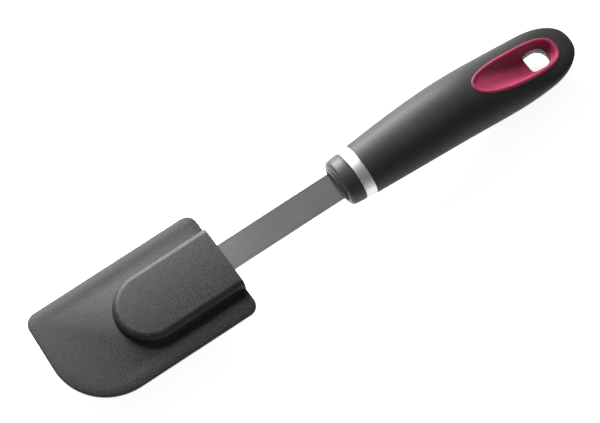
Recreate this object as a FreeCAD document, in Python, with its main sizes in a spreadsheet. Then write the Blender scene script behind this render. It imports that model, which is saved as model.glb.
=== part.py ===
import FreeCAD, Part
import math
import os
import Sketcher

# Kitchen scraper: a pull-off silicone head, a flat steel shank and a two-colour handle.
# The length runs along X, from the blade's tip at -X to the handle's end at +X.
# +Z is up, out of the side that carries the head's thick socket. Millimetres throughout.

SIZES = {
    # overall: half the length, and how high the strip's middle plane lies above the lowest point
    "half_length": 150.0,
    "shank_height": 15.5,
    # silicone head
    "head_end": -53.0,
    "head_half_width": 30.0,
    "tip_lean": 1.55,
    "tip_small_radius": 6.0,
    "tip_large_radius": 31.0,
    "back_corner_radius": 5.5,
    "blade_top": -1.3,
    "blade_thickness": 2.4,
    "blade_edge_round": 0.7,
    "boss_half_width": 18.0,
    "boss_reach": 60.5,
    "boss_top": 4.7,
    "boss_round": 3.4,
    "boss_end_play": 0.1,
    # stiff plate inside the head, and the strip's slot in it
    "plate_half_width": 12.5,
    "plate_thickness": 4.4,
    "plate_reach": 50.0,
    "plate_inset": 1.2,
    "slot_play": 0.05,
    "slot_end_gap": 1.0,
    # steel strip
    "strip_width": 15.2,
    "strip_thickness": 2.0,
    "strip_insertion": 44.0,
    "strip_corner": 2.5,
    "tang_end": 78.0,
    "pin_radius": 2.0,
    "pin_length": 13.0,
    "pin_first": 38.0,
    "pin_spacing": 26.0,
    # nose cap, steel ring and the core's neck, all centred a little above the strip
    "neck_rise": 0.9,
    "nose_front": 12.6,
    "nose_front_half_width": 12.8,
    "nose_front_half_height": 9.6,
    "nose_round": 2.6,
    "nose_slot_play": 0.3,
    "lip_draft": 0.3,
    "lip_well_depth": 0.4,
    "lip_half_width": 9.5,
    "lip_half_height": 4.4,
    "lip_height": 0.9,
    "lip_wall": 1.2,
    "groove_front": 20.1,
    "groove_depth": 0.6,
    "ring_front": 20.6,
    "ring_front_half_width": 13.4,
    "ring_front_half_height": 10.0,
    "ring_back": 26.3,
    "ring_back_half_width": 13.75,
    "ring_back_half_height": 10.3,
    "ring_bore_half_width": 12.0,
    "ring_bore_half_height": 8.9,
    "spigot_front": 16.2,
    "spigot_half_width": 10.4,
    "spigot_half_height": 7.4,
    # grip and its core
    "grip_skin": 1.8,
    "tail_start": 128.0,
    "tail_power": 2.45,
    "tail_flat": 0.05,
    # hanging hole and the insert that lines it
    "hole_front": 124.8,
    "hole_back": 136.5,
    "hole_half_width": 5.7,
    "hole_front_corner": 1.8,
    "hole_back_corner": 4.8,
    "insert_wall": 1.4,
    "insert_lip": 1.6,
    "rim_front": 92.2,
    "rim_back": 142.0,
    "rim_front_height": 11.9,
    "rim_back_height": -1.8,
    "bowl_depth": 5.6,
    "bowl_floor_inset": 4.2,
    "bowl_lip_depth": 0.5,
    "bowl_wall_lean": 0.6,
    "bowl_wall_level": -2.5,
    # how far cutting shapes run past what they cut
    "column_height": 60.0,
    "column_base": -20.0,
    "column_above_rim": 12.0,
    "overrun": 1.0,
}

# Handle outline by station along X: half width, and heights above the strip's middle plane.
HALF_WIDTH = [(26.3, 13.85), (60.0, 16.05), (98.0, 17.0), (116.0, 16.8), (128.0, 16.1), (150.0, 13.9)]
MIDDLE = [(26.3, 1.0), (58.0, 2.4), (80.0, 1.7), (100.0, -1.1), (117.0, -3.1), (150.0, -2.6)]
CROWN = [(26.3, 11.3), (70.0, 14.0), (91.0, 12.4), (112.0, 6.7), (128.0, 2.4), (150.0, -1.2)]
KEEL = [(26.3, -9.4), (70.0, -9.6), (95.0, -12.0), (122.0, -15.4), (136.0, -15.0), (150.0, -13.0)]
BODY_STATIONS = [26.3, 42.0, 60.0, 78.0, 92.0, 104.0, 116.0, 128.0]
# Sections of the rounded tail, as shares of its length; the core's tail ends at the second.
TAIL_SHARES = [0.34, 0.6, 0.78, 0.9, 0.96, 0.99]

# One side of the insert's rim, seen from above: X, and how far it stands from the middle.
RIM_SIDE = [(96.2, 5.3), (104.0, 8.2), (118.0, 9.5), (130.0, 9.3), (138.2, 6.9)]

doc = FreeCAD.newDocument("scraper")
sheet = doc.addObject("Spreadsheet::Sheet", "Sizes")
for row, (alias, value) in enumerate(SIZES.items(), start=1):
    sheet.set(f"A{row}", alias)
    sheet.set(f"B{row}", str(value))
    sheet.setAlias(f"B{row}", alias)
doc.recompute()


def size(alias):
    return float(sheet.get(alias))


def vector(x=0.0, y=0.0, z=0.0):
    return FreeCAD.Vector(x, y, z)


def addItem(kind, name, links=None, **values):
    """A document object with plain property values and with properties bound to the sheet."""
    item = doc.addObject(kind, name)
    for key, value in values.items():
        setattr(item, key, value)
    for key, formula in (links or {}).items():
        item.setExpression(key, formula)
    return item


def addSketch(body, name, offset):
    """A sketch on the body's own XY plane, lifted by the formula."""
    sketch = body.newObject("Sketcher::SketchObject", name)
    plane = next(item for item in body.Origin.OriginFeatures if item.Role == "XY_Plane")
    sketch.AttachmentSupport = [(plane, "")]
    sketch.MapMode = "FlatFace"
    sketch.setExpression("AttachmentOffset.Base.z", offset)
    return sketch


def drive(sketch, kind, references, value, name, formula):
    """Adds one named dimension to the sketch and binds it to the sheet."""
    sketch.addConstraint(Sketcher.Constraint(kind, *references, value))
    sketch.renameConstraint(len(sketch.Constraints) - 1, name)
    sketch.setExpression(f"Constraints.{name}", formula)


def drawPolygon(sketch, corners):
    """Closed polygon; each corner is (x, y, x formula, y formula)."""
    count = len(corners)
    for index in range(count):
        start = corners[index]
        end = corners[(index + 1) % count]
        sketch.addGeometry(Part.LineSegment(vector(start[0], start[1]), vector(end[0], end[1])), False)
    for index in range(count):
        sketch.addConstraint(Sketcher.Constraint("Coincident", index, 2, (index + 1) % count, 1))
    for index, (x, y, xFormula, yFormula) in enumerate(corners):
        drive(sketch, "DistanceX", (-1, 1, index, 1), x, f"across{index}", xFormula)
        drive(sketch, "DistanceY", (-1, 1, index, 1), y, f"along{index}", yFormula)


def drawCircle(sketch, index, x, radius, xFormula, radiusFormula):
    sketch.addGeometry(Part.Circle(vector(x), vector(z=1), radius), False)
    sketch.addConstraint(Sketcher.Constraint("PointOnObject", index, 3, -1))
    drive(sketch, "Radius", (index,), radius, f"radius{index}", radiusFormula)
    drive(sketch, "DistanceX", (-1, 1, index, 3), x, f"centre{index}", xFormula)


def addPad(body, name, sketch, length):
    pad = body.newObject("PartDesign::Pad", name)
    pad.Profile = sketch
    pad.setExpression("Length", length)
    doc.recompute()
    return pad


def edgesWhere(shape, test):
    return [f"Edge{number}" for number, edge in enumerate(shape.Edges, start=1) if test(edge)]


def addFillet(body, name, base, test, radius):
    """Rounds the base feature's edges that pass the test."""
    fillet = body.newObject("PartDesign::Fillet", name)
    fillet.Base = (base, edgesWhere(base.Shape, test))
    fillet.setExpression("Radius", radius)
    doc.recompute()
    return fillet


def uprightNear(x, y):
    """Test for the upright edge that stands at x, y."""
    def test(edge):
        middle = edge.CenterOfMass
        upright = abs(edge.BoundBox.ZLength - edge.Length) < 0.01
        return upright and math.hypot(middle.x - x, middle.y - y) < 0.5
    return test


def levelAt(z):
    """Test for edges that lie flat at height z."""
    return lambda edge: edge.BoundBox.ZLength < 0.01 and abs(edge.CenterOfMass.z - z) < 0.01


def buildBlade():
    """Silicone blade with the raised tongue that holds the plate, still solid."""
    halfLength = size("half_length")
    halfWidth = size("head_half_width")
    headEnd = size("head_end")
    tipLow = -halfLength - size("tip_lean")
    tipHigh = -halfLength + size("tip_lean")
    base = size("shank_height")
    body = addItem("PartDesign::Body", "BladeSolid")
    outline = addSketch(body, "BladeOutline", "Sizes.shank_height + Sizes.blade_top - Sizes.blade_thickness")
    drawPolygon(outline, [
        (tipLow, -halfWidth, "-Sizes.half_length - Sizes.tip_lean", "-Sizes.head_half_width"),
        (headEnd, -halfWidth, "Sizes.head_end", "-Sizes.head_half_width"),
        (headEnd, halfWidth, "Sizes.head_end", "Sizes.head_half_width"),
        (tipHigh, halfWidth, "-Sizes.half_length + Sizes.tip_lean", "Sizes.head_half_width"),
    ])
    feature = addPad(body, "BladePlate", outline, "Sizes.blade_thickness")
    corners = [
        ("TipLarge", tipLow, -halfWidth, "Sizes.tip_large_radius"),
        ("TipSmall", tipHigh, halfWidth, "Sizes.tip_small_radius"),
        ("BackLow", headEnd, -halfWidth, "Sizes.back_corner_radius"),
        ("BackHigh", headEnd, halfWidth, "Sizes.back_corner_radius"),
    ]
    for name, x, y, radius in corners:
        feature = addFillet(body, name, feature, uprightNear(x, y), radius)
    bladeTop = base + size("blade_top")
    feature = addFillet(body, "TopEdge", feature, levelAt(bladeTop), "Sizes.blade_edge_round")
    bladeBottom = bladeTop - size("blade_thickness")
    feature = addFillet(body, "BottomEdge", feature, levelAt(bladeBottom), "Sizes.blade_edge_round")

    bossWidth = size("boss_half_width")
    bossFar = headEnd - size("boss_reach")
    tongue = addSketch(body, "TongueOutline", "Sizes.shank_height + Sizes.blade_top - Sizes.blade_edge_round")
    drawPolygon(tongue, [
        (bossFar, -bossWidth, "Sizes.head_end - Sizes.boss_reach", "-Sizes.boss_half_width"),
        (headEnd, -bossWidth, "Sizes.head_end", "-Sizes.boss_half_width"),
        (headEnd, bossWidth, "Sizes.head_end", "Sizes.boss_half_width"),
        (bossFar, bossWidth, "Sizes.head_end - Sizes.boss_reach", "Sizes.boss_half_width"),
    ])
    rise = "Sizes.boss_top - Sizes.blade_top + Sizes.blade_edge_round"
    feature = addPad(body, "Tongue", tongue, rise)
    nearlyHalf = "Sizes.boss_half_width - Sizes.boss_end_play"
    for name, side in (("TongueLow", -bossWidth), ("TongueHigh", bossWidth)):
        feature = addFillet(body, name, feature, uprightNear(bossFar, side), nearlyHalf)
    top = base + size("boss_top")
    addFillet(body, "TongueTop", feature, levelAt(top), "Sizes.boss_round")
    return body


def buildPlate():
    """Round-ended plate inside the head, before its slot is cut."""
    low = "Sizes.shank_height - Sizes.plate_thickness / 2"
    straight = addItem("Part::Box", "PlateStraight", {
        "Length": "Sizes.plate_reach - Sizes.plate_inset - Sizes.plate_half_width",
        "Width": "Sizes.plate_half_width * 2",
        "Height": "Sizes.plate_thickness",
        "Placement.Base.x": "Sizes.head_end - Sizes.plate_reach + Sizes.plate_half_width",
        "Placement.Base.y": "-Sizes.plate_half_width",
        "Placement.Base.z": low,
    })
    nose = addItem("Part::Cylinder", "PlateEnd", {
        "Radius": "Sizes.plate_half_width",
        "Height": "Sizes.plate_thickness",
        "Placement.Base.x": "Sizes.head_end - Sizes.plate_reach + Sizes.plate_half_width",
        "Placement.Base.z": low,
    })
    return addItem("Part::MultiFuse", "PlateSolid", Shapes=[straight, nose], Refine=True)


def buildSlot():
    """Space that the strip slides into, from its blind end out past the head's end."""
    return addItem("Part::Box", "StripSlot", {
        "Length": "Sizes.strip_insertion + Sizes.slot_end_gap + Sizes.overrun",
        "Width": "Sizes.strip_width + Sizes.slot_play * 2",
        "Height": "Sizes.strip_thickness + Sizes.slot_play * 2",
        "Placement.Base.x": "Sizes.head_end - Sizes.strip_insertion - Sizes.slot_end_gap",
        "Placement.Base.y": "-Sizes.strip_width / 2 - Sizes.slot_play",
        "Placement.Base.z": "Sizes.shank_height - Sizes.strip_thickness / 2 - Sizes.slot_play",
    })


def buildShank():
    """Flat strip with rounded front corners and two pin holes in its tang."""
    front = size("head_end") - size("strip_insertion")
    halfWidth = size("strip_width") / 2
    body = addItem("PartDesign::Body", "shank")
    low = "Sizes.shank_height - Sizes.strip_thickness / 2"
    outline = addSketch(body, "StripOutline", low)
    frontFormula = "Sizes.head_end - Sizes.strip_insertion"
    drawPolygon(outline, [
        (front, -halfWidth, frontFormula, "-Sizes.strip_width / 2"),
        (size("tang_end"), -halfWidth, "Sizes.tang_end", "-Sizes.strip_width / 2"),
        (size("tang_end"), halfWidth, "Sizes.tang_end", "Sizes.strip_width / 2"),
        (front, halfWidth, frontFormula, "Sizes.strip_width / 2"),
    ])
    feature = addPad(body, "Strip", outline, "Sizes.strip_thickness")
    for name, side in (("FrontLow", -halfWidth), ("FrontHigh", halfWidth)):
        feature = addFillet(body, name, feature, uprightNear(front, side), "Sizes.strip_corner")
    holes = addSketch(body, "PinHoles", low)
    radius = size("pin_radius")
    first = size("pin_first")
    second = first + size("pin_spacing")
    drawCircle(holes, 0, first, radius, "Sizes.pin_first", "Sizes.pin_radius")
    drawCircle(holes, 1, second, radius, "Sizes.pin_first + Sizes.pin_spacing", "Sizes.pin_radius")
    pocket = body.newObject("PartDesign::Pocket", "PinPocket")
    pocket.Profile = holes
    pocket.Reversed = True
    pocket.setExpression("Length", "Sizes.strip_thickness")
    doc.recompute()
    removed = feature.Shape.Volume - pocket.Shape.Volume
    expected = 2 * math.pi * radius**2 * size("strip_thickness")
    print(f"pin holes remove {removed:.1f} of {expected:.1f} mm3")
    return body


def addEllipse(name, x, halfWidth, halfHeight):
    """Upright ellipse across X, centred on the neck's axis; its three sizes are formulas."""
    return addItem("Part::Ellipse", name, {
        "MajorRadius": halfWidth,
        "MinorRadius": halfHeight,
        "Placement.Base.x": x,
        "Placement.Base.z": "Sizes.shank_height + Sizes.neck_rise",
    }, Placement=FreeCAD.Placement(vector(), FreeCAD.Rotation(vector(1, 1, 1), 120)))


def addLoft(name, sections):
    """Straight-sided solid between upright ellipses given as (x, half width, half height)."""
    ellipses = [addEllipse(f"{name}Section{index}", *section) for index, section in enumerate(sections)]
    return addItem("Part::Loft", name, Sections=ellipses, Solid=True, Ruled=True)


def buildNose():
    """Black cap round the strip, with a rounded front edge and a raised oval lip."""
    cap = addLoft("NoseCone", [
        ("Sizes.nose_front", "Sizes.nose_front_half_width", "Sizes.nose_front_half_height"),
        ("Sizes.groove_front", "Sizes.ring_front_half_width", "Sizes.ring_front_half_height"),
    ])
    doc.recompute()
    front = size("nose_front")
    rounded = addItem("Part::Fillet", "NoseRounded", Base=cap)
    frontEdges = edgesWhere(cap.Shape, lambda edge: abs(edge.BoundBox.XMax - front) < 0.01)
    numbers = [int(name.removeprefix("Edge")) for name in frontEdges]
    rounded.Edges = [(number, size("nose_round"), size("nose_round")) for number in numbers]
    groove = addLoft("NoseGroove", [
        ("Sizes.groove_front", "Sizes.ring_front_half_width - Sizes.groove_depth",
         "Sizes.ring_front_half_height - Sizes.groove_depth"),
        ("Sizes.ring_front", "Sizes.ring_front_half_width - Sizes.groove_depth",
         "Sizes.ring_front_half_height - Sizes.groove_depth"),
    ])
    lip = addLoft("NoseLip", [
        ("Sizes.nose_front - Sizes.lip_height", "Sizes.lip_half_width - Sizes.lip_draft",
         "Sizes.lip_half_height - Sizes.lip_draft"),
        ("Sizes.nose_front + Sizes.overrun", "Sizes.lip_half_width", "Sizes.lip_half_height"),
    ])
    blank = addItem("Part::MultiFuse", "NoseBlank", Shapes=[rounded, groove, lip])
    well = addLoft("LipWell", [
        ("Sizes.nose_front - Sizes.lip_height - Sizes.overrun", "Sizes.lip_half_width - Sizes.lip_wall",
         "Sizes.lip_half_height - Sizes.lip_wall"),
        ("Sizes.nose_front + Sizes.lip_well_depth", "Sizes.lip_half_width - Sizes.lip_wall",
         "Sizes.lip_half_height - Sizes.lip_wall"),
    ])
    slot = addItem("Part::Box", "NoseSlot", {
        "Length": "Sizes.ring_back - Sizes.nose_front",
        "Width": "Sizes.strip_width + Sizes.nose_slot_play * 2",
        "Height": "Sizes.strip_thickness + Sizes.nose_slot_play * 2",
        "Placement.Base.x": "Sizes.nose_front - Sizes.lip_height - Sizes.overrun",
        "Placement.Base.y": "-Sizes.strip_width / 2 - Sizes.nose_slot_play",
        "Placement.Base.z": "Sizes.shank_height - Sizes.strip_thickness / 2 - Sizes.nose_slot_play",
    })
    socket = addLoft("NoseSocket", [
        ("Sizes.spigot_front", "Sizes.spigot_half_width", "Sizes.spigot_half_height"),
        ("Sizes.ring_front + Sizes.overrun", "Sizes.spigot_half_width", "Sizes.spigot_half_height"),
    ])
    hollow = addItem("Part::MultiFuse", "NoseHollow", Shapes=[well, slot, socket])
    return addItem("Part::Cut", "nose_cap", Base=blank, Tool=hollow)


def buildRing():
    """Steel ring between the nose cap and the grip."""
    outer = addLoft("RingOuter", [
        ("Sizes.ring_front", "Sizes.ring_front_half_width", "Sizes.ring_front_half_height"),
        ("Sizes.ring_back", "Sizes.ring_back_half_width", "Sizes.ring_back_half_height"),
    ])
    bore = addLoft("RingBore", [
        ("Sizes.ring_front - Sizes.overrun", "Sizes.ring_bore_half_width", "Sizes.ring_bore_half_height"),
        ("Sizes.ring_back + Sizes.overrun", "Sizes.ring_bore_half_width", "Sizes.ring_bore_half_height"),
    ])
    return addItem("Part::Cut", "ferrule_ring", Base=outer, Tool=bore)


def buildPins():
    """Two plain pins that lock the tang in the core, one object with two solids."""
    pins = []
    for index in range(2):
        pins.append(addItem("Part::Cylinder", f"Pin{index}", {
            "Radius": "Sizes.pin_radius",
            "Height": "Sizes.pin_length",
            "Placement.Base.x": f"Sizes.pin_first + Sizes.pin_spacing * {index}",
            "Placement.Base.z": "Sizes.shank_height - Sizes.pin_length / 2",
        }))
    return addItem("Part::Compound", "tang_pins", Links=pins)


def guide(points):
    """Smooth curve through (x, value) points, read with guideValue."""
    curve = Part.BSplineCurve()
    places = [vector(x, 0, value) for x, value in points]
    curve.interpolate(Points=places, Parameters=[x for x, value in points])
    return lambda x: curve.value(x).z


def handleSection(x, scale, inset):
    """Closed outline across the handle at x: a half ellipse above its widest line, one below."""
    base = size("shank_height")
    half = halfWidthAt(x) * scale - inset
    middle = base + middleAt(x)
    rise = (crownAt(x) - middleAt(x)) * scale - inset
    drop = (middleAt(x) - keelAt(x)) * scale - inset
    centre = vector(x, 0, middle)
    upper = Part.Ellipse(vector(x, half, middle), vector(x, 0, middle + rise), centre)
    lower = Part.Ellipse(vector(x, -half, middle), vector(x, 0, middle - drop), centre)
    arcs = [Part.ArcOfEllipse(curve, 0, math.pi).toShape() for curve in (upper, lower)]
    return Part.Wire(arcs)


def handleSolid(inset, shares):
    """Handle body up to the tail, then a tail that closes as a blunt superellipse."""
    start = size("tail_start")
    reach = size("half_length") - start
    power = size("tail_power")
    stations = [(x, 1.0) for x in BODY_STATIONS]
    stations += [(start + reach * share, (1 - share**power) ** (1 / power)) for share in shares]
    if inset == 0:
        stations.append((size("half_length"), size("tail_flat")))
    return Part.makeLoft([handleSection(x, scale, inset) for x, scale in stations], True)


def rimHeight(x):
    """Height of the insert's rim, which falls evenly towards the handle's end."""
    front = size("rim_front")
    fall = (size("rim_back_height") - size("rim_front_height")) / (size("rim_back") - front)
    return size("shank_height") + size("rim_front_height") + fall * (x - front)


def rimOutline(inset, level):
    """Insert outline drawn in by inset, at a level above the rim's sloping plane."""
    front = size("rim_front")
    back = size("rim_back")
    centre = (front + back) / 2
    shrinkX = 1 - 2 * inset / (back - front)
    shrinkY = 1 - inset / max(y for x, y in RIM_SIDE)
    flat = [(front, 0.0)] + RIM_SIDE + [(back, 0.0)] + [(x, -y) for x, y in reversed(RIM_SIDE)]
    points = []
    for x, y in flat:
        moved = centre + (x - centre) * shrinkX
        points.append(vector(moved, y * shrinkY, rimHeight(moved) + level))
    curve = Part.BSplineCurve()
    curve.interpolate(Points=points, PeriodicFlag=True)
    return Part.Wire([curve.toShape()])


def holeSolid(wall):
    """Upright column with tight corners towards the bowl and wide ones towards the handle's end."""
    front = size("hole_front") - wall
    back = size("hole_back") + wall
    half = size("hole_half_width") + wall
    tall = size("column_height")
    block = Part.makeBox(back - front, 2 * half, tall, vector(front, -half, size("column_base")))
    middle = (front + back) / 2
    uprights = [edge for edge in block.Edges if edge.BoundBox.ZLength > tall / 2]
    frontEdges = [edge for edge in uprights if edge.CenterOfMass.x < middle]
    block = block.makeFillet(size("hole_front_corner") + wall, frontEdges)
    uprights = [edge for edge in block.Edges if edge.BoundBox.ZLength > tall / 2]
    backEdges = [edge for edge in uprights if abs(edge.CenterOfMass.x - back) < 0.01]
    return block.makeFillet(size("hole_back_corner") + wall, backEdges)


def insertColumn():
    """Everything the insert fills, run on past the handle: the bowl's block and the hole's tube."""
    depth = size("bowl_depth") + size("insert_wall")
    block = Part.makeLoft([rimOutline(0, -depth), rimOutline(0, size("column_above_rim"))], True)
    return block.fuse(holeSolid(size("insert_wall")))


def bowlHollow():
    """The thumb bowl, with walls that lean in towards its floor."""
    lip = size("insert_lip")
    depth = size("bowl_depth")
    floor = size("bowl_floor_inset")
    above = size("column_above_rim") + size("overrun")
    nearTop = size("bowl_lip_depth")
    halfway = (lip + size("bowl_wall_lean"), size("bowl_wall_level"))
    levels = [(lip, above), (lip, nearTop), halfway, (floor, -depth)]
    return Part.makeLoft([rimOutline(inset, level) for inset, level in levels], True)


def addShape(name, shape):
    item = doc.addObject("Part::Feature", name)
    item.Shape = shape
    return item


halfWidthAt = guide(HALF_WIDTH)
middleAt = guide(MIDDLE)
crownAt = guide(CROWN)
keelAt = guide(KEEL)

bladeSolid = buildBlade()
plateSolid = buildPlate()
stripSlot = buildSlot()
headCore = addItem("Part::Cut", "head_core", Base=plateSolid, Tool=stripSlot)
headHollow = addItem("Part::MultiFuse", "HeadHollow", Shapes=[plateSolid, stripSlot])
bladeHead = addItem("Part::Cut", "blade_head", Base=bladeSolid, Tool=headHollow)
shank = buildShank()
noseCap = buildNose()
ferruleRing = buildRing()
tangPins = buildPins()
doc.recompute()

outerHandle = handleSolid(0, TAIL_SHARES)
coreBody = handleSolid(size("grip_skin"), TAIL_SHARES[:2])
column = insertColumn()
neck = addLoft("CoreNeck", [
    ("Sizes.ring_front", "Sizes.ring_bore_half_width", "Sizes.ring_bore_half_height"),
    ("Sizes.ring_back", "Sizes.ring_bore_half_width", "Sizes.ring_bore_half_height"),
])
spigot = addLoft("CoreSpigot", [
    ("Sizes.spigot_front", "Sizes.spigot_half_width", "Sizes.spigot_half_height"),
    ("Sizes.ring_front", "Sizes.spigot_half_width", "Sizes.spigot_half_height"),
])
doc.recompute()
coreSolid = coreBody.fuse(neck.Shape).fuse(spigot.Shape).cut(column).cut(shank.Shape)
for pin in tangPins.Shape.Solids:
    coreSolid = coreSolid.cut(pin)
handleCore = addShape("handle_core", coreSolid)
gripSleeve = addShape("grip_sleeve", outerHandle.cut(coreBody).cut(column))
hangInsert = addShape("hang_insert", column.common(outerHandle).cut(bowlHollow()).cut(holeSolid(0)))
doc.recompute()

subParts = [bladeHead, headCore, shank, noseCap, ferruleRing, handleCore, tangPins, gripSleeve, hangInsert]
failed = [item.Name for item in doc.Objects if "Invalid" in item.State or "Error" in item.State]
if failed:
    raise RuntimeError(f"objects left failed: {failed}")
for item in subParts:
    if item.Shape.isNull() or not item.Shape.isValid():
        raise RuntimeError(f"{item.Label} has no valid shape")

os.makedirs("parts", exist_ok=True)
for item in subParts:
    item.Shape.exportStep(f"parts/{item.Label}.step")
    box = item.Shape.BoundBox
    print(f"{item.Label}: {len(item.Shape.Solids)} solids, {item.Shape.Volume:.0f} mm3")
    for axis in "XYZ":
        print(f"    {axis} {getattr(box, axis + 'Min'):.2f} to {getattr(box, axis + 'Max'):.2f}")
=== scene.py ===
import math

import bpy
import numpy as np
from mathutils import Matrix, Vector


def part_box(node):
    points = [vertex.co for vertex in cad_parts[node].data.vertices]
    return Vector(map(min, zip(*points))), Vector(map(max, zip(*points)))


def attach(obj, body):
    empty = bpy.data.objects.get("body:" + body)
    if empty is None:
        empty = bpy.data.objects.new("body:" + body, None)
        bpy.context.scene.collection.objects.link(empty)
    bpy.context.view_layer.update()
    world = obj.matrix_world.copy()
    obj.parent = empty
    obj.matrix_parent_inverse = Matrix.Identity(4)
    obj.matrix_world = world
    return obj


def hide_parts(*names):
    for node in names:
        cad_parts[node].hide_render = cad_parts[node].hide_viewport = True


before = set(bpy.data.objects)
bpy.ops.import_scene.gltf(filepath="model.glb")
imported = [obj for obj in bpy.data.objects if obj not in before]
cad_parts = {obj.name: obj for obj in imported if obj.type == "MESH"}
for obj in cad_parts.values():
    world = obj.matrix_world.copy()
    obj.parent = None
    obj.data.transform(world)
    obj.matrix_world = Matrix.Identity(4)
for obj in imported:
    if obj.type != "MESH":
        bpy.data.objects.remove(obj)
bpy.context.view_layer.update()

mm = 0.001
closeBy = 0.01 * mm  # places nearer than this count as the same


# picking, joining and finishing

def deselectAll():
    if bpy.context.object and bpy.context.object.mode != "OBJECT":
        bpy.ops.object.mode_set(mode="OBJECT")
    bpy.ops.object.select_all(action="DESELECT")


def makeActive(piece):
    deselectAll()
    piece.select_set(True)
    bpy.context.view_layer.objects.active = piece


def nameLast(name):
    piece = bpy.context.object
    piece.name = name
    piece.data.name = name
    return piece


def enterEdit():
    bpy.ops.object.mode_set(mode="EDIT")


def leaveEdit():
    bpy.ops.object.mode_set(mode="OBJECT")


def startPicking(piece, kind):
    # clears what is picked and sets whether vertices, edges or faces are picked next
    makeActive(piece)
    enterEdit()
    bpy.ops.mesh.select_mode(type=kind)
    bpy.ops.mesh.select_all(action="DESELECT")
    leaveEdit()


def selectVerts(piece, test):
    # leaves the piece in edit mode, with the vertices that pass the test picked
    startPicking(piece, "VERT")
    for vertex in piece.data.vertices:
        vertex.select = test(vertex.co)
    enterEdit()


def selectFaces(piece, test):
    startPicking(piece, "FACE")
    for face in piece.data.polygons:
        face.select = test(face)
    enterEdit()


def selectEdges(piece, test):
    # the test gets both ends of an edge
    startPicking(piece, "EDGE")
    points = piece.data.vertices
    for edge in piece.data.edges:
        edge.select = test(points[edge.vertices[0]].co, points[edge.vertices[1]].co)
    enterEdit()


def pickAll(piece):
    makeActive(piece)
    enterEdit()
    bpy.ops.mesh.select_all(action="SELECT")


def pullUp(rise):
    bpy.ops.mesh.extrude_region_move(TRANSFORM_OT_translate={"value": (0, 0, rise)})


def roundPicked(offset, segments, affect):
    bpy.ops.mesh.bevel(offset=offset * mm, segments=segments, profile=0.5, affect=affect)
    leaveEdit()


def addModifier(piece, kind, **values):
    # adds one modifier, sets it and applies it at once
    makeActive(piece)
    modifier = piece.modifiers.new(kind.title(), kind)
    for key, value in values.items():
        setattr(modifier, key, value)
    bpy.ops.object.modifier_apply(modifier=modifier.name)


def combine(piece, other, operation):
    addModifier(piece, "BOOLEAN", operation=operation, object=other, solver="EXACT")
    bpy.data.objects.remove(other)


def smoothShade(piece, degrees):
    makeActive(piece)
    bpy.ops.object.shade_smooth_by_angle(angle=math.radians(degrees))


def fixNormals(piece):
    pickAll(piece)
    bpy.ops.mesh.normals_make_consistent(inside=False)
    leaveEdit()


def dress(piece, material):
    piece.data.materials.clear()
    piece.data.materials.append(material)


def shapedBall(name, segments, rings, place):
    # a ball whose rings run from one pole to the other; place(ring, angle) says where each point goes
    deselectAll()
    bpy.ops.mesh.primitive_uv_sphere_add(segments=segments, ring_count=rings, radius=1)
    piece = nameLast(name)
    for vertex in piece.data.vertices:
        ring = round(math.acos(max(-1, min(1, vertex.co.z))) / math.pi * rings)
        angle = math.atan2(vertex.co.y, vertex.co.x)
        vertex.co = place(ring, angle)
    fixNormals(piece)
    return piece


def shapedDoughnut(name, around, rows, place):
    # a doughnut whose section rows run once round its tube; place(row, angle) says where each point goes
    deselectAll()
    bpy.ops.mesh.primitive_torus_add(
        major_segments=around, minor_segments=rows, major_radius=1, minor_radius=0.25)
    piece = nameLast(name)
    for vertex in piece.data.vertices:
        angle = math.atan2(vertex.co.y, vertex.co.x)
        outward = math.hypot(vertex.co.x, vertex.co.y) - 1
        row = round(math.atan2(vertex.co.z, outward) / (2 * math.pi) * rows) % rows
        vertex.co = place(row, angle)
    fixNormals(piece)
    return piece


def between(start, end, share):
    return start + (end - start) * share


def smoothCurve(points):
    # natural cubic curve through (x, value) points, in millimetres
    xs = np.array([p[0] for p in points], float)
    ys = np.array([p[1] for p in points], float)
    gaps = np.diff(xs)
    count = len(xs)
    matrix = np.eye(count)
    right = np.zeros(count)
    for i in range(1, count - 1):
        matrix[i, i - 1] = gaps[i - 1]
        matrix[i, i] = 2 * (gaps[i - 1] + gaps[i])
        matrix[i, i + 1] = gaps[i]
        right[i] = 6 * ((ys[i + 1] - ys[i]) / gaps[i] - (ys[i] - ys[i - 1]) / gaps[i - 1])
    bends = np.linalg.solve(matrix, right)

    def value(x):
        i = int(min(max(np.searchsorted(xs, x) - 1, 0), count - 2))
        a = xs[i + 1] - x
        b = x - xs[i]
        h = gaps[i]
        return float((bends[i] * a**3 + bends[i + 1] * b**3) / (6 * h)
                     + (ys[i] / h - bends[i] * h / 6) * a + (ys[i + 1] / h - bends[i + 1] * h / 6) * b)
    return value


# materials, each with its own short function

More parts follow.
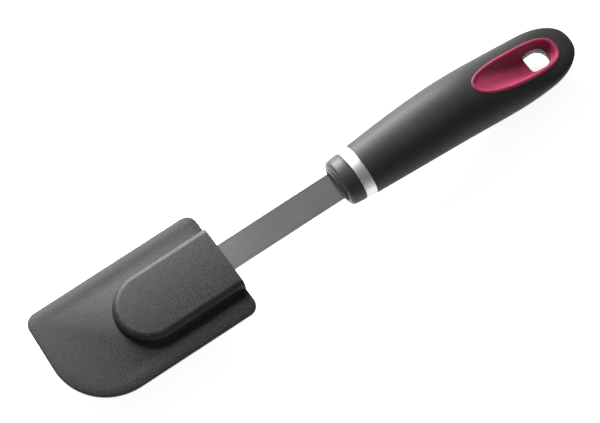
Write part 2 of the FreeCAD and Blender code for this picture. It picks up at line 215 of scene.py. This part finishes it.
class nodeDesk:
    # short names for adding and joining shader nodes
    def __init__(self, name):
        self.material = bpy.data.materials.new(name)
        self.material.use_nodes = True
        self.tree = self.material.node_tree
        self.shader = self.tree.nodes["Principled BSDF"]
        self.place = self.tree.nodes.new("ShaderNodeTexCoord").outputs["Object"]

    def add(self, kind, links):
        node = self.tree.nodes.new(kind)
        for key, source in links.items():
            if isinstance(source, bpy.types.NodeSocket):
                self.tree.links.new(source, node.inputs[key])
            else:
                node.inputs[key].default_value = source
        return node

    def stretch(self, x, y, z):
        return self.add("ShaderNodeMapping", {
            "Vector": self.place, "Scale": (x, y, z)}).outputs["Vector"]

    def noise(self, vector, scale, detail, roughness):
        return self.add("ShaderNodeTexNoise", {
            "Vector": vector, "Scale": scale, "Detail": detail, "Roughness": roughness}).outputs["Fac"]

    def ramp(self, fac, stops):
        node = self.add("ShaderNodeValToRGB", {"Fac": fac})
        for end, (position, colour) in zip(node.color_ramp.elements, stops):
            end.position = position
            end.color = (*colour, 1)
        return node.outputs["Color"]

    def span(self, value, low, high):
        return self.add("ShaderNodeMapRange", {
            "Value": value, "To Min": low, "To Max": high}).outputs["Result"]

    def bump(self, height, distance, strength, normal=None):
        links = {"Height": height, "Distance": distance, "Strength": strength}
        if normal is not None:
            links["Normal"] = normal
        return self.add("ShaderNodeBump", links).outputs["Normal"]

    def feed(self, **sources):
        for key, source in sources.items():
            socket = self.shader.inputs[key.replace("_", " ")]
            if isinstance(source, bpy.types.NodeSocket):
                self.tree.links.new(source, socket)
            else:
                socket.default_value = source
        return self.material


def makeSilicone():
    desk = nodeDesk("siliconeCharcoal")
    mottle = desk.noise(desk.place, scale=1050, detail=3, roughness=0.65)
    grain = desk.noise(desk.place, scale=3000, detail=2, roughness=0.5)
    colour = desk.ramp(mottle, [(0.36, (0.006, 0.006, 0.0062)), (0.66, (0.030, 0.030, 0.031))])
    rough = desk.span(mottle, low=0.46, high=0.60)
    fine = desk.bump(grain, distance=0.00005, strength=0.5)
    normal = desk.bump(mottle, distance=0.00016, strength=0.55, normal=fine)
    return desk.feed(Base_Color=colour, Roughness=rough, Normal=normal, Specular_IOR_Level=0.36)


def makeSoftGrip():
    desk = nodeDesk("softGripBlack")
    grain = desk.noise(desk.place, scale=3200, detail=2, roughness=0.6)
    wear = desk.noise(desk.place, scale=60, detail=3, roughness=0.5)
    colour = desk.ramp(wear, [(0.3, (0.026, 0.026, 0.0265)), (0.7, (0.034, 0.034, 0.0345))])
    rough = desk.span(grain, low=0.44, high=0.56)
    normal = desk.bump(grain, distance=0.00006, strength=0.4)
    return desk.feed(Base_Color=colour, Roughness=rough, Normal=normal, Specular_IOR_Level=0.29)


def makeBurgundy():
    desk = nodeDesk("burgundyGloss")
    cloud = desk.noise(desk.place, scale=90, detail=2, roughness=0.5)
    grain = desk.noise(desk.place, scale=2600, detail=2, roughness=0.5)
    colour = desk.ramp(cloud, [(0.3, (0.320, 0.031, 0.084)), (0.7, (0.375, 0.037, 0.097))])
    rough = desk.span(grain, low=0.48, high=0.58)
    normal = desk.bump(grain, distance=0.00003, strength=0.3)
    return desk.feed(Base_Color=colour, Roughness=rough, Normal=normal,
                     Specular_IOR_Level=0.3, Coat_Weight=0.05, Coat_Roughness=0.4)


def makeCapPlastic():
    desk = nodeDesk("capPlasticBlack")
    grain = desk.noise(desk.place, scale=1800, detail=2, roughness=0.5)
    colour = desk.ramp(grain, [(0.3, (0.032, 0.032, 0.033)), (0.7, (0.040, 0.040, 0.041))])
    rough = desk.span(grain, low=0.37, high=0.47)
    normal = desk.bump(grain, distance=0.00003, strength=0.3)
    return desk.feed(Base_Color=colour, Roughness=rough, Normal=normal, Specular_IOR_Level=0.36)


def makeStripSteel():
    desk = nodeDesk("stripSteelBrushed")
    lines = desk.noise(desk.stretch(14, 2600, 2600), scale=1.0, detail=3, roughness=0.6)
    cloud = desk.noise(desk.place, scale=40, detail=2, roughness=0.5)
    colour = desk.ramp(lines, [(0.3, (0.61, 0.61, 0.615)), (0.7, (0.69, 0.69, 0.695))])
    rough = desk.span(cloud, low=0.18, high=0.24)
    normal = desk.bump(lines, distance=0.00001, strength=0.3)
    return desk.feed(Base_Color=colour, Roughness=rough, Normal=normal, Metallic=1.0)


def makeRingSteel():
    desk = nodeDesk("ringSteelTurned")
    lines = desk.noise(desk.stretch(5200, 40, 40), scale=1.0, detail=3, roughness=0.6)
    colour = desk.ramp(lines, [(0.3, (0.72, 0.72, 0.73)), (0.7, (0.84, 0.84, 0.85))])
    rough = desk.span(lines, low=0.38, high=0.48)
    normal = desk.bump(lines, distance=0.00003, strength=0.4)
    return desk.feed(Base_Color=colour, Roughness=rough, Normal=normal, Metallic=1.0)


def makeCoreNylon():
    desk = nodeDesk("coreNylonDark")
    cloud = desk.noise(desk.place, scale=300, detail=2, roughness=0.5)
    colour = desk.ramp(cloud, [(0.3, (0.030, 0.030, 0.030)), (0.7, (0.042, 0.042, 0.042))])
    return desk.feed(Base_Color=colour, Roughness=desk.span(cloud, low=0.5, high=0.6))


silicone = makeSilicone()
softGrip = makeSoftGrip()
burgundy = makeBurgundy()
capPlastic = makeCapPlastic()
stripSteel = makeStripSteel()
ringSteel = makeRingSteel()
coreNylon = makeCoreNylon()
print("materials made")

# places taken from the frame

shankLow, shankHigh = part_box("shank")
shankMiddle = (shankLow[2] + shankHigh[2]) / 2 / mm  # height of the strip's middle plane, in mm
headLow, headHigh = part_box("blade_head")
gripLow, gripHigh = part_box("grip_sleeve")
ringLow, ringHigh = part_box("ferrule_ring")
noseLow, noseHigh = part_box("nose_cap")

# silicone head, in millimetres

head = {
    "tipLean": 1.55, "tipLarge": 31.0, "tipSmall": 6.0, "backCorner": 5.5,
    "largeSteps": 28, "smallSteps": 10,
    "bladeTop": -1.3, "bladeBottom": -3.7, "edgeRound": 0.7, "edgeSteps": 3,
    "edgeMargin": 5.0, "edgeThinning": 0.1,
    "bossHalfWidth": 18.0, "bossDraft": 0.35, "bossReach": 60.5, "bossTop": 4.7, "bossRoot": -3.2,
    "bossRound": 3.3, "bossSteps": 8, "bossEndSteps": 24,
    "bossFoot": 0.6, "footSteps": 3, "footMargin": 0.3, "footEndGap": 0.5,
    "plateHalfWidth": 12.5, "plateHalfHeight": 2.2, "plateReach": 50.0, "plateInset": 1.2,
    "plateEndSteps": 16, "roundEndPlay": 0.05,  # the play keeps a round end from closing on itself
    "slotHalfWidth": 7.65, "slotHalfHeight": 1.05, "slotOverlap": 1.0, "slotOverrun": 2.0,
}


def point(x, y, z):
    # millimetres, with z measured from the strip's middle plane
    return Vector((x * mm, y * mm, (z + shankMiddle) * mm))


def levelWith(height, *places):
    return all(abs(place.z - height) < closeBy for place in places)


def roundCorner(piece, corner, radius, steps):
    selectVerts(piece, lambda co: (co - corner).length < closeBy)
    roundPicked(radius, steps, "VERTICES")


def makeBladePlate():
    h = head
    tip = headLow[0] / mm
    end = headHigh[0] / mm
    side = headHigh[1] / mm
    corners = {
        (-1, -1): (tip - h["tipLean"], -side, h["tipLarge"], h["largeSteps"]),
        (1, -1): (end, -side, h["backCorner"], h["smallSteps"]),
        (1, 1): (end, side, h["backCorner"], h["smallSteps"]),
        (-1, 1): (tip + h["tipLean"], side, h["tipSmall"], h["smallSteps"]),
    }
    deselectAll()
    bpy.ops.mesh.primitive_plane_add(size=1)
    plate = nameLast("bladeHead")
    for vertex in plate.data.vertices:
        key = (int(math.copysign(1, vertex.co.x)), int(math.copysign(1, vertex.co.y)))
        x, y = corners[key][:2]
        vertex.co = point(x, y, h["bladeBottom"])
    for x, y, radius, steps in corners.values():
        roundCorner(plate, point(x, y, h["bladeBottom"]), radius, steps)
    pickAll(plate)
    pullUp((h["bladeTop"] - h["bladeBottom"]) * mm)
    leaveEdit()
    fixNormals(plate)
    return plate


def thinBladeEdge(plate):
    # a margin all round slopes down to a thinner edge, then top and bottom edges are rounded
    h = head
    top = point(0, 0, h["bladeTop"]).z
    bottom = point(0, 0, h["bladeBottom"]).z
    selectFaces(plate, lambda face: levelWith(top, face.center))
    bpy.ops.mesh.inset(thickness=h["edgeMargin"] * mm, use_even_offset=True)
    bpy.ops.mesh.select_all(action="DESELECT")
    leaveEdit()
    topFaces = [face for face in plate.data.polygons if levelWith(top, face.center)]
    middleFace = max(topFaces, key=lambda face: face.area)
    inner = set(middleFace.vertices)
    for vertex in plate.data.vertices:
        if levelWith(top, vertex.co) and vertex.index not in inner:
            vertex.co.z -= h["edgeThinning"] * mm
    edgeTop = top - h["edgeThinning"] * mm
    selectEdges(plate, lambda a, b: levelWith(edgeTop, a, b) or levelWith(bottom, a, b))
    roundPicked(h["edgeRound"], h["edgeSteps"], "EDGES")


def makeTongue():
    # the raised tongue, drawn up from its footprint
    h = head
    end = headHigh[0] / mm
    far = end - h["bossReach"]
    half = h["bossHalfWidth"]
    deselectAll()
    bpy.ops.mesh.primitive_plane_add(size=1)
    tongue = nameLast("tongue")
    for vertex in tongue.data.vertices:
        x = end if vertex.co.x > 0 else far
        vertex.co = point(x, math.copysign(half, vertex.co.y), h["bossRoot"])
    for side in (-1, 1):
        corner = point(far, side * half, h["bossRoot"])
        roundCorner(tongue, corner, half - h["roundEndPlay"], h["bossEndSteps"])
    pickAll(tongue)
    pullUp((h["bossTop"] - h["bossRoot"]) * mm)
    shrink = (half - h["bossDraft"]) / half
    bpy.ops.transform.resize(value=(1, shrink, 1), center_override=point(end, 0, h["bossTop"]))
    leaveEdit()
    fixNormals(tongue)
    top = point(0, 0, h["bossTop"]).z

    def topEdge(a, b):
        atEnd = all(abs(p.x - end * mm) < closeBy for p in (a, b))
        return levelWith(top, a, b) and not atEnd
    selectEdges(tongue, topEdge)
    roundPicked(h["bossRound"], h["bossSteps"], "EDGES")
    return tongue


def makeHead():
    h = head
    end = headHigh[0] / mm
    plate = makeBladePlate()
    thinBladeEdge(plate)
    combine(plate, makeTongue(), "UNION")
    foot = point(0, 0, h["bladeTop"]).z
    widest = (h["bossHalfWidth"] + h["footMargin"]) * mm
    farthest = (end - h["bossReach"] - h["footMargin"]) * mm
    endZone = (end - h["footEndGap"]) * mm

    def footEdge(a, b):
        inside = all(abs(p.y) < widest and p.x > farthest for p in (a, b))
        nearEnd = a.x > endZone and b.x > endZone
        return levelWith(foot, a, b) and inside and not nearEnd
    selectEdges(plate, footEdge)
    roundPicked(h["bossFoot"], h["footSteps"], "EDGES")
    cutHeadHollow(plate)
    smoothShade(plate, 35)
    dress(plate, silicone)
    return plate


def cutHeadHollow(plate):
    # the pocket that the stiff plate fills, and the strip's slot through the end wall
    h = head
    end = headHigh[0] / mm
    plateStop = end - h["plateInset"]
    slotStart = plateStop - h["slotOverlap"]
    boxes = [
        (end - h["plateReach"], plateStop, h["plateHalfWidth"], h["plateHalfHeight"], True),
        (slotStart, end + h["slotOverrun"], h["slotHalfWidth"], h["slotHalfHeight"], False),
    ]
    for start, stop, halfWidth, halfHeight, roundFront in boxes:
        deselectAll()
        bpy.ops.mesh.primitive_cube_add(size=2)
        cutter = nameLast("cutter")
        for vertex in cutter.data.vertices:
            x = stop if vertex.co.x > 0 else start
            vertex.co = point(x, vertex.co.y * halfWidth, vertex.co.z * halfHeight)
        if roundFront:
            def frontUpright(a, b):
                return all(abs(p.x - start * mm) < closeBy for p in (a, b)) and abs(a.y - b.y) < closeBy
            selectEdges(cutter, frontUpright)
            roundPicked(halfWidth - h["roundEndPlay"], h["plateEndSteps"], "EDGES")
        combine(plate, cutter, "DIFFERENCE")


bladeHead = makeHead()
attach(bladeHead, "head")
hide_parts("blade_head")
print("head made", len(bladeHead.data.polygons))

# nose cap and ring, drawn from ellipses along the handle's axis

neck = {
    "rise": 0.9, "steps": 96,
    "noseHalfWidth": 12.8, "noseHalfHeight": 9.6, "noseRound": 2.7, "noseSteps": 8, "flatMargin": 0.2,
    "lipHalfWidth": 9.5, "lipHalfHeight": 4.4, "lipHeight": 0.9,
    # the lip's section from its floor outwards: behind its front, then in from its sides and from its top
    "lipSection": [(1.0, 2.9, 2.5), (0.98, 1.6, 1.6), (0.8, 1.35, 1.35), (0.3, 1.25, 1.25),
                   (0.05, 0.91, 0.91), (0.0, 0.585, 0.585), (0.1, 0.25, 0.25), (0.4, 0.05, 0.05),
                   (0.75, -0.05, -0.05), (0.9, -0.35, -0.35)],
    "coneShares": (0.3, 0.65, 0.97), "coneSetback": 0.1, "coneEdge": 0.2,
    "grooveFront": 20.1, "grooveDepth": 0.6, "grooveRamp": 0.08,
    "ringHalfWidth": 13.4, "ringHalfHeight": 10.0, "ringBackHalfWidth": 13.75, "ringBackHalfHeight": 10.3,
    "ringBoreHalfWidth": 12.0, "ringBoreHalfHeight": 8.9,
    "ringRound": 0.25, "ringTurns": (0, 30, 60, 90), "ringShares": (0.35, 0.65),
}


def ellipsePoint(x, halfWidth, halfHeight, angle):
    return point(x, halfWidth * math.cos(angle), neck["rise"] + halfHeight * math.sin(angle))


def makeNoseCap():
    n = neck
    lipFront = noseLow[0] / mm
    front = lipFront + n["lipHeight"]
    back = noseHigh[0] / mm
    groove = n["grooveFront"]
    radius = n["noseRound"]
    nose = (n["noseHalfWidth"], n["noseHalfHeight"])
    ring = (n["ringHalfWidth"], n["ringHalfHeight"])

    def row(x, size, inset):
        return x, size[0] - inset, size[1] - inset
    rows = [(lipFront + n["lipSection"][0][0], 0, 0)]
    for behind, sideInset, topInset in n["lipSection"]:
        rows.append((lipFront + behind, n["lipHalfWidth"] - sideInset, n["lipHalfHeight"] - topInset))
    rows.append(row(front, nose, radius + n["flatMargin"]))
    for step in range(n["noseSteps"] + 1):
        turn = math.radians(90 * step / n["noseSteps"])
        rows.append(row(front + radius * (1 - math.cos(turn)), nose, radius * (1 - math.sin(turn))))
    for share in n["coneShares"]:
        size = [between(start, end - n["coneSetback"], share) for start, end in zip(nose, ring)]
        rows.append(row(between(front + radius, groove, share), size, 0))
    rows.append(row(groove, ring, n["coneEdge"]))
    rows.append(row(groove + n["grooveRamp"], ring, n["grooveDepth"]))
    rows.append(row(back, ring, n["grooveDepth"]))
    rows.append((back, 0, 0))
    cap = shapedBall("noseCap", n["steps"], len(rows) - 1,
                     lambda ring, angle: ellipsePoint(*rows[ring], angle))
    smoothShade(cap, 40)
    dress(cap, capPlastic)
    return cap


def makeRing():
    n = neck
    front = ringLow[0] / mm
    back = ringHigh[0] / mm
    wallFront = (n["ringHalfWidth"], n["ringHalfHeight"])
    wallBack = (n["ringBackHalfWidth"], n["ringBackHalfHeight"])
    bore = (n["ringBoreHalfWidth"], n["ringBoreHalfHeight"])

    def roundedEdge(x, inward, wall):
        # from the wall's outside to the end face at x
        edge = []
        for degrees in n["ringTurns"]:
            along = n["ringRound"] * (1 - math.sin(math.radians(degrees)))
            inset = n["ringRound"] * (1 - math.cos(math.radians(degrees)))
            edge.append((x + inward * along, wall[0] - inset, wall[1] - inset))
        return edge
    rows = roundedEdge(front, 1, wallFront)[::-1]
    for share in n["ringShares"]:
        rows.append((between(front, back, share), between(wallFront[0], wallBack[0], share),
                     between(wallFront[1], wallBack[1], share)))
    rows += roundedEdge(back, -1, wallBack)
    rows += [(back, *bore), (front, *bore)]
    ring = shapedDoughnut("ferruleRing", n["steps"], len(rows),
                          lambda row, angle: ellipsePoint(*rows[row], angle))
    smoothShade(ring, 40)
    dress(ring, ringSteel)
    return ring


noseCap = makeNoseCap()
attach(noseCap, "handle")
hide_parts("nose_cap")
ferruleRing = makeRing()
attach(ferruleRing, "handle")
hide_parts("ferrule_ring")
print("cap and ring made")

# grip: half width, widest line, top and bottom by station along the handle, in millimetres

grip = {
    "halfWidth": [(26.3, 13.85), (60.0, 16.05), (98.0, 17.0), (116.0, 16.8), (128.0, 16.1), (150.0, 13.9)],
    "middle": [(26.3, 1.0), (58.0, 2.4), (80.0, 1.7), (100.0, -1.1), (117.0, -3.1), (150.0, -2.6)],
    "crown": [(26.3, 11.3), (70.0, 14.0), (91.0, 12.4), (112.0, 6.7), (128.0, 2.4), (150.0, -1.2)],
    "keel": [(26.3, -9.4), (70.0, -9.6), (95.0, -12.0), (122.0, -15.4), (136.0, -15.0), (150.0, -13.0)],
    # the front end: how far behind it, and the section's share of its full size
    "frontSection": [(0.0, 0), (0.0, 0.6), (0.0, 0.975), (0.06, 0.99)], "frontRound": 0.35,
    "tailStart": 128.0, "tailPower": 2.45, "bodyRings": 44, "tailRings": 26, "segments": 128,
}
halfWidthAt = smoothCurve(grip["halfWidth"])
middleAt = smoothCurve(grip["middle"])
crownAt = smoothCurve(grip["crown"])
keelAt = smoothCurve(grip["keel"])
gripFront = gripLow[0] / mm
gripBack = gripHigh[0] / mm


def tailScale(x):
    # full size up to the tail's start, then rounding down to nothing at the handle's end
    part = (x - grip["tailStart"]) / (gripBack - grip["tailStart"])
    power = grip["tailPower"]
    return max(0, 1 - max(0, part)**power)**(1 / power)


def sectionPoint(x, scale, angle):
    half = halfWidthAt(x) * scale
    middle = middleAt(x)
    reach = crownAt(x) - middle if math.sin(angle) > 0 else middle - keelAt(x)
    return point(x, half * math.cos(angle), middle + reach * scale * math.sin(angle))


def skinHeight(x, y):
    # height of the grip's upper skin over a point, from the strip's middle plane
    scale = tailScale(x)
    half = halfWidthAt(x) * scale
    rise = (crownAt(x) - middleAt(x)) * scale
    return middleAt(x) + rise * math.sqrt(max(0, 1 - (y / half)**2))


def bellyHeight(x, y):
    # the same for the grip's underside
    scale = tailScale(x)
    half = halfWidthAt(x) * scale
    drop = (middleAt(x) - keelAt(x)) * scale
    return middleAt(x) - drop * math.sqrt(max(0, 1 - (y / half)**2))


def gripStations():
    g = grip
    start = gripFront + g["frontRound"]
    rows = [(gripFront + behind, share) for behind, share in g["frontSection"]]
    for step in range(g["bodyRings"] + 1):
        rows.append((between(start, g["tailStart"], step / g["bodyRings"]), 1))
    for step in range(1, g["tailRings"] + 1):
        x = between(g["tailStart"], gripBack, math.sin(math.radians(90 * step / g["tailRings"])))
        rows.append((x, tailScale(x)))
    return rows


# hanging insert: thumb bowl and the hole's lining

insert = {
    "front": 92.2, "back": 142.0, "widest": 122.0, "halfWidth": 9.5, "frontPower": 2.3, "backPower": 2.7,
    "rimFall": -0.2751, "rimFrontHeight": 11.9,
    # the rim's section: how far in from its outline, and how high over the grip's skin
    "rimSection": [(0.6, -0.8), (0.3, -0.25), (-0.1, -0.06), (-0.05, 0.135), (0.15, 0.24),
                   (0.45, 0.3), (0.8, 0.285), (1.156, 0.18), (1.462, 0.05)],
    "lip": 1.7, "bowlStart": 0.35, "bowlCurve": 2.3, "bowlRows": 14, "lastBowlShare": 0.985,
    "floorDepthFront": 5.3, "floorDepthBack": 3.3,
    "holeCentre": 130.45, "holeReach": 5.85, "holeHalfWidth": 5.6,
    "holeFrontPower": 5.0, "holeBackPower": 2.6,
    # the hole's wall: its share of the flare, and how high over the handle's underside
    "holeSection": [(0.025, 9.0), (0.5, 4.5), (0.85, 1.5), (1.0, 0.5), (1.06, 0.15), (1.2, 0.02)],
    "holeFlare": 2.0, "holeEnd": 0.02, "wallTop": 1.5, "wall": 1.3, "collar": 0.35,
    "blockInset": 0.6, "blockTop": 6.5, "blockDepth": 7.0,
    "bowlOverlap": 0.35, "holeOverlap": 0.1, "cutTop": 12, "holeCutTop": 5, "holeCutBottom": -25,
    "around": 144,
}


def rimPlane(x):
    return insert["rimFrontHeight"] + insert["rimFall"] * (x - insert["front"])


def ovalPoint(angle, centre, reach, halfWidth, power):
    # a point of an oval that gets squarer as its power grows
    c, s = math.cos(angle), math.sin(angle)
    x = centre + reach * math.copysign(abs(c)**(2 / power), c)
    y = halfWidth * math.copysign(abs(s)**(2 / power), s)
    return x, y


def rimPoint(angle, inset):
    # the rim's outline from above, drawn in by inset
    i = insert
    backward = math.cos(angle) > 0
    reach = i["back"] - i["widest"] if backward else i["widest"] - i["front"]
    power = i["backPower"] if backward else i["frontPower"]
    return ovalPoint(angle, i["widest"], reach - inset, i["halfWidth"] - inset, power)


def holePoint(angle, grow):
    # squarish towards the bowl, rounder towards the handle's end
    i = insert
    power = i["holeBackPower"] if math.cos(angle) > 0 else i["holeFrontPower"]
    return ovalPoint(angle, i["holeCentre"], i["holeReach"] + grow, i["holeHalfWidth"] + grow, power)


def mouthDepth(angle):
    # how far the hole's mouth lies below the rim's plane, less towards the handle's end
    return between(insert["floorDepthFront"], insert["floorDepthBack"], (1 + math.cos(angle)) / 2)


def insertRow(kind, value, angle):
    i = insert
    if kind == "rim":
        inset, lift = value
        x, y = rimPoint(angle, inset)
        return x, y, skinHeight(x, y) + lift
    if kind == "outside":
        x, y = rimPoint(angle, i["blockInset"])
        return x, y, rimPlane(x) - value
    if kind == "bowl":
        outX, outY = rimPoint(angle, i["lip"])
        inX, inY = holePoint(angle, 0)
        x = between(outX, inX, value)
        y = between(outY, inY, value)
        high = skinHeight(outX, outY) - i["bowlStart"]
        low = rimPlane(x) - mouthDepth(angle)
        return x, y, between(high, low, 1 - (1 - value)**i["bowlCurve"])
    if kind == "hole":
        grow, height = value
        x, y = holePoint(angle, grow)
        return x, y, bellyHeight(x, y) + height
    x, y = holePoint(angle, i["wall"])  # the hole's wall from outside, under the bowl
    return x, y, rimPlane(x) - value


def lineHoleAndPaintShade(piece):
    # the insert's faces below its short collar get the black grip finish: painted shade deep in the hole,
    # standing in for the grip sleeve's own wall there
    i = insert
    piece.data.materials.append(softGrip)
    longest = i["holeReach"] + i["holeFlare"]
    widest = i["holeHalfWidth"] + i["holeFlare"]
    for face in piece.data.polygons:
        x, y = face.center.x / mm, face.center.y / mm
        mouth = rimPlane(x) - mouthDepth(math.atan2(y, x - i["holeCentre"]))
        across = abs(x - i["holeCentre"]) < longest and abs(y) < widest
        if across and face.center.z < point(x, y, mouth - i["collar"]).z:
            # painted shade: these lower faces of the hole take the black finish
            face.material_index = 1


def makeInsert():
    i = insert
    flare = i["holeFlare"]
    wide = flare + i["wall"]
    rows = [("outside", i["blockTop"])]
    rows += [("rim", place) for place in i["rimSection"]]
    rows += [("bowl", step / i["bowlRows"]) for step in range(i["bowlRows"])]
    rows += [("bowl", i["lastBowlShare"]), ("bowl", 1.0)]
    rows += [("hole", (flare * share, height)) for share, height in i["holeSection"]]
    rows += [("hole", (wide, i["holeEnd"])), ("hole", (wide, i["wallTop"]))]
    rows.append(("lining", i["blockDepth"]))
    piece = shapedDoughnut("hangInsert", i["around"], len(rows),
                           lambda row, angle: point(*insertRow(*rows[row], angle)))
    smoothShade(piece, 60)
    dress(piece, burgundy)
    lineHoleAndPaintShade(piece)
    return piece


def columnCutter(name, outline, low, high):
    # a plain column with the given outline, whose ends have the heights low(x) and high(x)
    deselectAll()
    bpy.ops.mesh.primitive_cylinder_add(vertices=insert["around"], radius=1, depth=2)
    cutter = nameLast(name)
    for vertex in cutter.data.vertices:
        angle = math.atan2(vertex.co.y, vertex.co.x)
        x, y = outline(angle)
        vertex.co = point(x, y, high(x) if vertex.co.z > 0 else low(x))
    fixNormals(cutter)
    return cutter


def makeGrip():
    i = insert
    rows = gripStations()
    piece = shapedBall("gripSleeve", grip["segments"], len(rows) - 1,
                       lambda ring, angle: sectionPoint(*rows[ring], angle))
    bowl = columnCutter("bowlCutter", lambda angle: rimPoint(angle, i["bowlOverlap"]),
                        lambda x: rimPlane(x) - i["blockDepth"], lambda x: rimPlane(x) + i["cutTop"])
    combine(piece, bowl, "DIFFERENCE")
    grow = i["holeFlare"] + i["wall"] - i["holeOverlap"]
    hole = columnCutter("holeCutter", lambda angle: holePoint(angle, grow),
                        lambda x: i["holeCutBottom"], lambda x: i["holeCutTop"])
    combine(piece, hole, "DIFFERENCE")
    smoothShade(piece, 40)
    dress(piece, softGrip)
    return piece


gripSleeve = makeGrip()
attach(gripSleeve, "handle")
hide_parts("grip_sleeve")
hangInsert = makeInsert()
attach(hangInsert, "handle")
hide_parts("hang_insert")
print("grip and insert made")

# nodes kept from the frame, with their finishes

for node, material in (("shank", stripSteel), ("tang_pins", stripSteel),
                       ("head_core", coreNylon), ("handle_core", coreNylon)):
    dress(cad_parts[node], material)
print("kept nodes dressed")

# floor, light and camera, in metres and degrees

studio = {
    "floorSize": 6.0, "floorColour": (0.86, 0.86, 0.86), "floorGlow": 0.84, "floorRoughness": 0.9,
    "keyPlace": (-0.115, 0.27, 0.28), "keySize": (0.20, 0.10), "keyPower": 0.22, "keySpread": 50.0,
    "keyTarget": (-0.11, 0.085, 0.015),
    "edgePlace": (0.03, 0.38, 0.17), "edgeSize": (0.34, 0.20), "edgePower": 0.98, "edgeSpread": 70.0,
    "edgeTarget": (0.02, 0.04, 0.015),
    "fillPlace": (0.0, -0.60, 0.22), "fillSize": (0.9, 0.25), "fillPower": 0.15, "fillSpread": 120.0,
    "fillTarget": (0.0, 0.0, 0.015),
    "world": 0.165,
}
view = {
    "aim": (-0.00954, 0.00017, 0.0135), "distance": 1.6, "leanToTip": 11.5, "leanToEdge": 20.0,
    "roll": 32.93, "lens": 200.7, "sensorWidth": 36, "farthest": 50,  # lens and sensor in millimetres
}


def makeFloor():
    deselectAll()
    bpy.ops.mesh.primitive_plane_add(size=studio["floorSize"])
    floor = nameLast("floor")
    material = bpy.data.materials.new("paleFloor")
    material.use_nodes = True
    shader = material.node_tree.nodes["Principled BSDF"]
    shader.inputs["Base Color"].default_value = (*studio["floorColour"], 1)
    shader.inputs["Roughness"].default_value = studio["floorRoughness"]
    shader.inputs["Emission Color"].default_value = (1, 1, 1, 1)
    shader.inputs["Emission Strength"].default_value = studio["floorGlow"]
    dress(floor, material)


def addAreaLight(name):
    data = bpy.data.lights.new(name + "Light", "AREA")
    data.spread = math.radians(studio[name + "Spread"])
    data.shape = "RECTANGLE"
    data.size, data.size_y = studio[name + "Size"]
    data.energy = studio[name + "Power"]
    lamp = bpy.data.objects.new(name + "Light", data)
    bpy.context.scene.collection.objects.link(lamp)
    place = Vector(studio[name + "Place"])
    lamp.location = place
    lamp.rotation_euler = (Vector(studio[name + "Target"]) - place).to_track_quat("-Z", "Y").to_euler()


def makeWorld():
    world = bpy.data.worlds.new("studio")
    bpy.context.scene.world = world
    world.use_nodes = True
    background = world.node_tree.nodes["Background"]
    background.inputs["Strength"].default_value = studio["world"]
    background.inputs["Color"].default_value = (1, 1, 1, 1)


def makeCamera():
    # leans from straight overhead towards the blade's tip and the side of its large corner, then rolls
    v = view
    lean = math.radians(v["leanToTip"])
    tilt = math.radians(v["leanToEdge"])
    away = Vector((-math.sin(lean), -math.sin(tilt) * math.cos(lean), math.cos(tilt) * math.cos(lean)))
    along = (Vector((1, 0, 0)) - away * away.x).normalized()
    across = away.cross(along)
    roll = math.radians(v["roll"])
    right = along * math.cos(roll) - across * math.sin(roll)
    up = along * math.sin(roll) + across * math.cos(roll)
    data = bpy.data.cameras.new("camera")
    data.lens = v["lens"]
    data.sensor_width = v["sensorWidth"]
    data.clip_end = v["farthest"]
    camera = bpy.data.objects.new("camera", data)
    bpy.context.scene.collection.objects.link(camera)
    turn = Matrix((right, up, away)).transposed().to_4x4()
    camera.matrix_world = Matrix.Translation(Vector(v["aim"]) + away * v["distance"]) @ turn
    bpy.context.scene.camera = camera


makeFloor()
for lampName in ("key", "edge", "fill"):
    addAreaLight(lampName)
makeWorld()
bpy.context.scene.view_settings.view_transform = "Standard"
makeCamera()
print("studio made")
